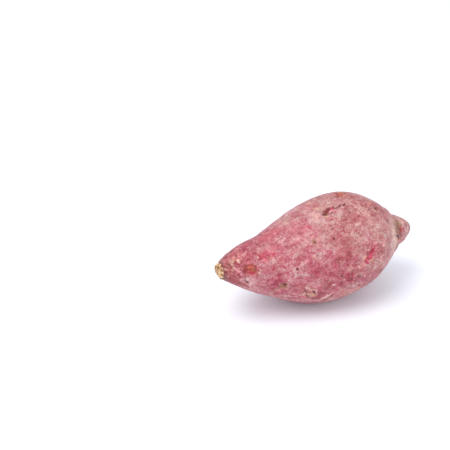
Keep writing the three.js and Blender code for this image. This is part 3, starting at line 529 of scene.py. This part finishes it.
relief += skin_on * (
    0.42 * fbm(P, 15, 2, 1) + 0.20 * fbm(P, 6, 2, 5) + 0.09 * fbm(P, 2.3, 2, 8) + 0.05 * noise(P / 0.95, 11)
    + (0.05 + 0.34 * taper_left + 0.20 * taper_right) * noise(stretched, 14)
    + (0.05 + 0.26 * taper_right + 0.14 * taper_left) * noise(ring_folds, 15)
    + 0.06 * noise(LOCAL * np.array([1 / 1.5, 1 / 6.0, 1 / 6.0]), 16))
# the crease that parts the shoulder from the nub, deepest on the upper front
crease = np.exp(-((X - 54.6 - 0.8 * noise(LOCAL / 7, 18)) / 1.7) ** 2)
relief -= crease * (0.32 + 0.30 * np.cos(A - np.radians(150)))
valley = np.exp(-((X - 56.3) / 2.3) ** 2) * np.exp(-((A - np.radians(138)) / np.radians(42)) ** 2)
relief -= 0.35 * valley
relief += 1.0 * np.exp(-((X - 58.5) / 4.0) ** 2) * np.exp(-((A - np.radians(228)) / np.radians(50)) ** 2)
relief += 0.3 * np.exp(-((X - 51.6) / 1.6) ** 2) * skin_on

# the corky stub: broken strands on its face and side, and the groove where the skin ends
edge_wobble = 1.05 + 0.80 * noise(LOCAL * np.array([0, 1 / 2.2, 1 / 2.2]) + 5.0, 21)
stub = 1 - smooth(-65.55, -64.75, X + edge_wobble)
groove = np.exp(-((X + 64.9 + edge_wobble) / 0.60) ** 2)
lean = math.radians(14)
turned = np.stack([LOCAL[..., 0], LOCAL[..., 1] * math.cos(lean) - LOCAL[..., 2] * math.sin(lean),
                   LOCAL[..., 1] * math.sin(lean) + LOCAL[..., 2] * math.cos(lean)], -1)
strands = 1 - 2.4 * np.abs(noise(turned * np.array([1 / 4.5, 1 / 1.25, 1 / 3.6]), 22))
strands_fine = 1 - 2.2 * np.abs(noise(turned * np.array([1 / 3.0, 1 / 0.62, 1 / 1.5]), 23))
frayed = 0.62 * strands + 0.38 * strands_fine
relief += stub * (0.85 * frayed - 1.05 + 0.45 * noise(LOCAL / 3.1, 24)) - 0.42 * groove

# the tail nub ends in a dry scar where the thin root broke off
tip = smooth(65.7, 66.5, X + 0.4 * noise(LOCAL * np.array([0, 1 / 1.6, 1 / 1.6]), 25))
relief += tip * (0.35 * (1 - 2 * np.abs(noise(LOCAL * np.array([0.4, 1 / 0.8, 1 / 0.8]), 26))) - 0.2)

V = P + NRM * relief[..., None]
V[0] = V[0].mean(0)
V[-1] = V[-1].mean(0)
# the small flat it rests on
V[..., 2] = 0.5 * (V[..., 2] + np.sqrt(V[..., 2] ** 2 + 0.16 ** 2)) - 0.004

# ------------------------------------------------------------------ what the finish is driven by

# the left end's skin is darker and redder: partly its own tone, partly painted shade over that end
left = 1 - smooth(-66, -34, X)
top = np.clip(np.sin(A), 0, 1) ** 2
warped = LOCAL + np.stack([1.6 * noise(P / 7, 65), 0 * X, 0 * X], -1)
arcs = smooth(28, 44, X) * noise(warped * np.array([1 / 1.7, 1 / 8, 1 / 8]), 61)
drawn = (1 - smooth(-22, 2, X)) * noise(LOCAL * np.array([1 / 9, 1 / 2.0, 1 / 2.0]), 63)
away = smooth(-0.15, 0.5, -np.cos(A - math.radians(156)))          # the flank turned from the marked one
dusty = (0.46 + 0.10 * np.sin(A) * smooth(-50, -10, X)             # paler on the upper side, fading out towards the left end
         + 0.12 * smooth(25, 55, X) - 0.26 * left + 0.36 * arcs + 0.42 * drawn
         + (0.72 - 0.26 * away) * fbm(P, 19, 2, 41) + (0.58 - 0.12 * away) * fbm(P, 6.5, 3, 45) + 0.35 * fbm(P, 2.6, 2, 47))
dusty = np.where(dusty > 0.72, 0.72 + (dusty - 0.72) * (1 - 0.55 * away), dusty)
dusty = np.where(dusty < 0.30, 0.30 + (dusty - 0.30) * (1 - 0.45 * away), dusty)
pinker = np.clip(0.50 + 1.1 * fbm(P, 10, 3, 51) + 0.30 * np.exp(-((X + 26) / 26) ** 2) - 0.30 * smooth(15, 52, X)
                 - 0.55 * (1 - smooth(-67, -50, X)) - 0.30 * top * smooth(-15, 10, X), 0, 1)
cork = np.clip(stub + 0.9 * tip, 0, 1)
fray_shade = np.clip(1.0 * frayed - 0.02, 0, 1)

# ------------------------------------------------------------------ fibres on the stub and the tip

fibre_v, fibre_f, fibre_shade = [], [], []


def fibre(start, direction, length, radius, bend, shade, sides=6, steps=5):
    """One tapered closed strand, added to the same mesh."""
    direction = direction / np.linalg.norm(direction)
    side = np.cross(direction, bend)
    side /= np.linalg.norm(side) + 1e-9
    up = np.cross(side, direction)
    base = len(fibre_v)
    for k in range(steps):
        f = k / steps
        c = start + direction * length * f + bend * length * f * f
        rad = radius * (1 - 0.75 * f ** 1.5)
        for s in range(sides):
            th = 2 * np.pi * s / sides
            fibre_v.append(c + rad * (np.cos(th) * side + np.sin(th) * up))
            fibre_shade.append(shade * (0.75 + 0.25 * f))
    fibre_v.append(start + direction * length + bend * length)
    fibre_shade.append(shade)
    fibre_v.append(start.copy())
    fibre_shade.append(shade * 0.7)
    top, foot = base + steps * sides, base + steps * sides + 1
    for k in range(steps - 1):
        for s in range(sides):
            a, b = base + k * sides + s, base + k * sides + (s + 1) % sides
            fibre_f.append((a, b, b + sides, a + sides))
    for s in range(sides):
        a, b = base + s, base + (s + 1) % sides
        fibre_f.append((a + (steps - 1) * sides, b + (steps - 1) * sides, top))
        fibre_f.append((b, a, foot))


rng = np.random.default_rng(7)
stub_rows = np.where((ring_x < -66.4))[0]
for k in range(78):
    i = int(rng.choice(stub_rows[1:]))
    j = int(rng.integers(COLUMNS))
    down = np.array([0.0, rng.normal(0, 0.45), -1.0 if rng.uniform() < 0.75 else 1.0])
    down -= NRM[i, j] * (down @ NRM[i, j])
    out = down + NRM[i, j] * rng.uniform(0.05, 0.42) + np.array([-rng.uniform(0.0, 0.25), 0, 0])
    bend = rng.normal(0, 0.18, 3) - NRM[i, j] * 0.25
    start = V[i, j] - NRM[i, j] * 0.25 - down * rng.uniform(0.2, 0.9)
    fibre(start, out, rng.uniform(1.4, 3.4), rng.uniform(0.20, 0.40), bend, rng.uniform(0.35, 0.95))
tip_rows = np.where((ring_x > 66.2))[0]
for k in range(9):
    i = int(rng.choice(tip_rows[:-1]))
    j = int(rng.integers(COLUMNS))
    out = np.array([1.0, 0, 0]) + rng.normal(0, 0.45, 3)
    fibre(V[i, j] - np.array([0.3, 0, 0]), out, rng.uniform(0.6, 1.3), rng.uniform(0.14, 0.24),
          rng.normal(0, 0.3, 3), rng.uniform(0.25, 0.6))

# ------------------------------------------------------------------ the mesh

rows = len(ring_x)
inner = V[1:-1].reshape(-1, 3)
verts = np.concatenate([V[0, :1], inner, V[-1, :1]])
n_inner = len(inner)
last = n_inner + 1
idx = 1 + np.arange((rows - 2) * COLUMNS).reshape(rows - 2, COLUMNS)
nxt = np.roll(idx, -1, 1)
quads = np.stack([idx[:-1], nxt[:-1], nxt[1:], idx[1:]], -1).reshape(-1, 4)
head = np.stack([np.zeros(COLUMNS, int), nxt[0], idx[0]], -1)
tail = np.stack([np.full(COLUMNS, last), idx[-1], nxt[-1]], -1)


def facing_out():
    a, b, c = verts[quads[2000, 0]], verts[quads[2000, 1]], verts[quads[2000, 2]]
    return np.cross(b - a, c - a) @ (a - AXIS[12, 0]) > 0


if not facing_out():
    quads, head, tail = quads[:, ::-1], head[:, ::-1], tail[:, ::-1]

n_body = len(verts)
fibre_v = np.array(fibre_v)
all_verts = np.concatenate([verts, fibre_v]) / 1000.0
faces = [tuple(map(int, f)) for f in quads] + [tuple(map(int, f)) for f in head] + [tuple(map(int, f)) for f in tail]
faces += [tuple(int(k) + n_body for k in f) for f in fibre_f]

mesh = bpy.data.meshes.new("sweet_potato")
mesh.from_pydata(all_verts.tolist(), [], faces)
mesh.validate()
mesh.polygons.foreach_set("use_smooth", np.ones(len(mesh.polygons), bool))
import bmesh
bm = bmesh.new()
bm.from_mesh(mesh)
bmesh.ops.recalc_face_normals(bm, faces=[f for f in bm.faces if f.verts[0].index >= n_body])
bm.to_mesh(mesh)
bm.free()


def per_vertex(grid, fibre_values):
    flat = np.concatenate([grid[0, :1], grid[1:-1].reshape(-1), grid[-1, :1]])
    return np.concatenate([flat, fibre_values]).astype(np.float32)


n_fibre = len(fibre_v)
for name, grid, on_fibre in (
        ("cover", cover * (1 - cork), np.zeros(n_fibre)), ("dusty", dusty, np.full(n_fibre, 0.5)),
        ("pinker", pinker, np.full(n_fibre, 0.5)), ("cork", cork, np.ones(n_fibre)),
        ("cork_tone_and_gap_shade", np.where(tip > 0.3, fray_shade * 0.55, fray_shade), np.array(fibre_shade)),
        # groove: browning at the stub's rim, partly real stain and partly painted shade, plus painted shade in the
        # crease (0.25 * crease)
        ("groove", np.clip(np.exp(-np.maximum(X + 65.1 + edge_wobble, 0) / 1.5) * (X < -58) * (1 - stub) + 0.25 * crease, 0, 1),
         np.zeros(n_fibre))):
    layer = mesh.attributes.new(name, "FLOAT", "POINT")
    layer.data.foreach_set("value", per_vertex(grid, on_fibre))
layer = mesh.attributes.new("tint", "FLOAT_COLOR", "POINT")
rgba = np.ones((len(mesh.vertices), 4), np.float32)
for k in range(3):
    rgba[:, k] = per_vertex(tint[..., k], np.full(n_fibre, 0.4))
layer.data.foreach_set("color", rgba.ravel())

potato = bpy.data.objects.new("sweet_potato", mesh)
bpy.context.scene.collection.objects.link(potato)

# ------------------------------------------------------------------ the skin's material

class Nodes:
    """Small helper that adds nodes and links to one material."""

    def __init__(self, name):
        self.material = bpy.data.materials.new(name)
        self.material.use_nodes = True
        self.tree = self.material.node_tree
        self.tree.nodes.clear()

    def add(self, kind, **values):
        node = self.tree.nodes.new(kind)
        for key, value in values.items():
            setattr(node, key, value)
        return node

    def link(self, out, into):
        self.tree.links.new(out, into)

    def put(self, socket, value):
        if isinstance(value, bpy.types.NodeSocket):
            self.link(value, socket)
        elif value is not None:
            socket.default_value = value

    def attribute(self, name, output="Fac"):
        return self.add("ShaderNodeAttribute", attribute_type="GEOMETRY", attribute_name=name).outputs[output]

    def noise(self, coord, scale, detail=2.0, rough=0.55, distortion=0.0):
        node = self.add("ShaderNodeTexNoise")
        self.link(coord, node.inputs["Vector"])
        node.inputs["Scale"].default_value = scale
        node.inputs["Detail"].default_value = detail
        node.inputs["Roughness"].default_value = rough
        node.inputs["Distortion"].default_value = distortion
        return node.outputs["Fac"]

    def math(self, operation, a, b=None, c=None, clamp=False):
        node = self.add("ShaderNodeMath", operation=operation, use_clamp=clamp)
        for socket, value in zip(node.inputs, (a, b, c)):
            self.put(socket, value)
        return node.outputs[0]

    def step(self, value, low, high, to_low=0.0, to_high=1.0):
        node = self.add("ShaderNodeMapRange", interpolation_type="SMOOTHSTEP")
        self.put(node.inputs[0], value)
        for k, v in enumerate((low, high, to_low, to_high), start=1):
            node.inputs[k].default_value = v
        return node.outputs[0]

    def mix(self, factor, a, b, blend="MIX"):
        node = self.add("ShaderNodeMix", data_type="RGBA", blend_type=blend)
        self.put(node.inputs[0], factor)
        for socket, value in ((node.inputs[6], a), (node.inputs[7], b)):
            if isinstance(value, bpy.types.NodeSocket):
                self.link(value, socket)
            else:
                socket.default_value = (*value, 1.0)
        return node.outputs[2]

    def ramp(self, value, stops):
        node = self.add("ShaderNodeValToRGB")
        self.put(node.inputs[0], value)
        elements = node.color_ramp.elements
        while len(elements) < len(stops):
            elements.new(0.5)
        for element, (at, color) in zip(elements, stops):
            element.position = at
            element.color = (*color, 1.0)
        return node.outputs[0]


def seen(r, g, b):
    """Skin colour given as it looks in daylight, 0 to 255."""
    return tuple(float(v) for v in linear((r, g, b)) * SKIN_GAIN)


SKIN_GAIN = 0.725
n = Nodes("potato_skin")
place = n.add("ShaderNodeTexCoord").outputs["Object"]
squeezed = n.add("ShaderNodeMapping")                  # stretches patterns along the root
n.link(place, squeezed.inputs["Vector"])
squeezed.inputs["Scale"].default_value = (0.45, 1.0, 1.0)
grain_at = squeezed.outputs["Vector"]

speckle = n.noise(place, 760, 3.0, 0.62)               # about 1.3 mm
mottle = n.noise(place, 300, 3.0, 0.6, 0.4)            # about 3 mm
blotch = n.noise(place, 95, 2.0, 0.5)                  # about 10 mm
streak = n.noise(grain_at, 520, 2.0, 0.55)
pores = n.noise(place, 1900, 2.0, 0.6)

# how much dust and dry outer skin lies over the fresh red skin
dust = n.math("MULTIPLY_ADD", n.math("SUBTRACT", speckle, 0.5), 0.95, n.attribute("dusty"))
dust = n.math("MULTIPLY_ADD", n.math("SUBTRACT", mottle, 0.5), 0.95, dust)
dust = n.math("MULTIPLY_ADD", n.math("SUBTRACT", streak, 0.5), 0.45, dust)
dust = n.math("MULTIPLY_ADD", n.math("SUBTRACT", pores, 0.5), 0.35, dust)
skin_rose = n.ramp(dust, [(0.00, seen(158, 58, 66)), (0.22, seen(178, 86, 90)), (0.42, seen(191, 112, 114)),
                          (0.60, seen(202, 137, 134)), (0.80, seen(212, 160, 154)), (1.00, seen(226, 188, 178))])
skin_pink = n.ramp(dust, [(0.00, seen(172, 58, 82)), (0.22, seen(186, 84, 100)), (0.42, seen(198, 108, 120)),
                          (0.60, seen(207, 134, 140)), (0.80, seen(215, 160, 161)), (1.00, seen(224, 180, 177))])
pink_part = n.step(n.math("MULTIPLY_ADD", n.math("SUBTRACT", blotch, 0.5), 1.1, n.attribute("pinker")), 0.25, 0.85)
skin = n.mix(pink_part, skin_rose, skin_pink)

# yellowish-brown dry film in loose flecks, and fine dark pores
fleck = n.step(n.noise(place, 420, 3.0, 0.65, 0.6), 0.60, 0.72)
skin = n.mix(n.math("MULTIPLY", fleck, 0.45), skin, seen(204, 152, 124))
pit = n.step(n.noise(place, 620, 2.0, 0.5), 0.675, 0.75)
skin = n.mix(n.math("MULTIPLY", pit, 0.6), skin, seen(150, 66, 78))

# grime and grain in the dry skin
fine = n.noise(place, 1150, 3.0, 0.7)
grain = n.math("MULTIPLY_ADD", n.math("SUBTRACT", pores, 0.5), 1.5, 1.0)
grain = n.math("MULTIPLY_ADD", n.math("SUBTRACT", fine, 0.5), 1.6, grain)
grain = n.math("MULTIPLY_ADD", n.math("SUBTRACT", n.noise(place, 190, 2.0, 0.5), 0.5), 0.36, grain)
grain_grey = n.add("ShaderNodeCombineXYZ")
for socket in grain_grey.inputs:
    n.link(grain, socket)
skin = n.mix(1.0, skin, grain_grey.outputs[0], "MULTIPLY")

# the marks, with broken edges
ragged_cover = n.math("MULTIPLY_ADD", n.math("SUBTRACT", speckle, 0.5), 1.3, n.attribute("cover"))
ragged_cover = n.math("MULTIPLY_ADD", n.math("SUBTRACT", mottle, 0.5), 0.9, ragged_cover)
marked = n.math("MULTIPLY", n.step(ragged_cover, 0.05, 0.85), n.step(n.attribute("cover"), 0.0, 0.25))
tint_value = n.math("MULTIPLY_ADD", n.math("SUBTRACT", speckle, 0.5), 1.1, 1.0)
tint_value = n.math("MULTIPLY_ADD", n.math("SUBTRACT", mottle, 0.5), 0.8, tint_value)
grey = n.add("ShaderNodeCombineXYZ")
for socket in grey.inputs:
    n.link(tint_value, socket)
tint_color = n.mix(1.0, n.attribute("tint", "Color"), grey.outputs[0], "MULTIPLY")
skin = n.mix(marked, skin, tint_color)

# the stub's rim is browned, partly a real stain and partly painted shade in the groove, and the crease before the nub
# is darkened as painted shade
skin = n.mix(n.math("MULTIPLY", n.attribute("groove"), 0.8), skin, seen(112, 66, 54))

# cork: its ramp is darkest in the low gaps between the strands and at the fibres' feet, partly the cork's own brown and
# partly painted shade
cork_tone_and_gap_shade = n.math("MULTIPLY_ADD", n.math("SUBTRACT", pores, 0.5), 0.5, n.attribute("cork_tone_and_gap_shade"))
cork = n.ramp(cork_tone_and_gap_shade, [(0.20, tuple(linear((84, 42, 28)))), (0.40, tuple(linear((146, 96, 60)))),
                     (0.58, tuple(linear((198, 156, 114)))), (0.85, tuple(linear((246, 216, 178))))])
skin = n.mix(n.attribute("cork"), skin, cork)

shader = n.add("ShaderNodeBsdfPrincipled")
n.link(skin, shader.inputs["Base Color"])
rough = n.math("MULTIPLY_ADD", dust, 0.22, 0.46)
n.link(n.math("MAXIMUM", rough, n.math("MULTIPLY", n.attribute("cork"), 0.85)), shader.inputs["Roughness"])
shader.inputs["Specular IOR Level"].default_value = 0.28
shader.inputs["Sheen Weight"].default_value = 0.16
shader.inputs["Sheen Roughness"].default_value = 0.45
shader.inputs["Sheen Tint"].default_value = (1.0, 0.9, 0.92, 1.0)
height = n.math("MULTIPLY_ADD", speckle, 0.55, n.math("MULTIPLY_ADD", streak, 0.35, n.math("MULTIPLY", pores, 0.25)))
bump = n.add("ShaderNodeBump")
bump.inputs["Strength"].default_value = 0.55
bump.inputs["Distance"].default_value = 0.0004
n.link(height, bump.inputs["Height"])
n.link(bump.outputs["Normal"], shader.inputs["Normal"])
output = n.add("ShaderNodeOutputMaterial")
n.link(shader.outputs[0], output.inputs["Surface"])
potato.data.materials.append(n.material)

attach(potato, "root")
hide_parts("sweet_potato_root")

# ------------------------------------------------------------------ floor, light and camera

floor_mesh = bpy.data.meshes.new("floor")
floor_mesh.from_pydata([(-4, -4, -0.00004), (4, -4, -0.00004), (4, 4, -0.00004), (-4, 4, -0.00004)], [], [(0, 1, 2, 3)])
floor = bpy.data.objects.new("floor", floor_mesh)
bpy.context.scene.collection.objects.link(floor)
f = Nodes("floor_white")
paper = f.add("ShaderNodeBsdfPrincipled")
paper.inputs["Base Color"].default_value = (0.905, 0.94, 1.0, 1.0)
paper.inputs["Roughness"].default_value = 0.85
paper.inputs["Specular IOR Level"].default_value = 0.1
f.link(paper.outputs[0], f.add("ShaderNodeOutputMaterial").inputs["Surface"])
floor_mesh.materials.append(f.material)

world = bpy.data.worlds.new("studio")
world.use_nodes = True
sky = world.node_tree.nodes["Background"]
sky.inputs["Color"].default_value = (0.955, 0.965, 1.0, 1.0)
sky.inputs["Strength"].default_value = 0.92
bpy.context.scene.world = world


def softbox(name, at, size, power, color=(1, 1, 1)):
    light = bpy.data.lights.new(name, "AREA")
    light.shape = "DISK"
    light.size = size
    light.energy = power
    light.color = color
    lamp = bpy.data.objects.new(name, light)
    lamp.location = at
    lamp.rotation_euler = (Vector((0, 0, 0.03)) - Vector(at)).to_track_quat("-Z", "Y").to_euler()
    bpy.context.scene.collection.objects.link(lamp)
    return lamp


softbox("key", (-0.50, -0.12, 1.06), 0.80, 6.4, (1.0, 0.99, 0.97))
softbox("fill", (0.1, -1.25, 0.75), 0.9, 3.2, (0.98, 0.98, 1.0))

camera = bpy.data.cameras.new("camera")
camera.sensor_width = 36.0
camera.lens = 102.4
camera.clip_start = 0.01
camera.clip_end = 20.0
eye = bpy.data.objects.new("camera", camera)
right = Vector((0.898794, -0.438371, 0.0))
up = Vector((0.219186, 0.449397, 0.866025))
back = Vector((-0.379641, -0.778378, 0.5))
eye.matrix_world = Matrix.Translation(Vector((-0.350089, -0.592259, 0.446829))) @ Matrix(
    (right, up, back)).transposed().to_4x4()
bpy.context.scene.collection.objects.link(eye)
bpy.context.scene.camera = eye
bpy.context.scene.view_settings.view_transform = "Standard"
bpy.context.scene.view_settings.look = "None"
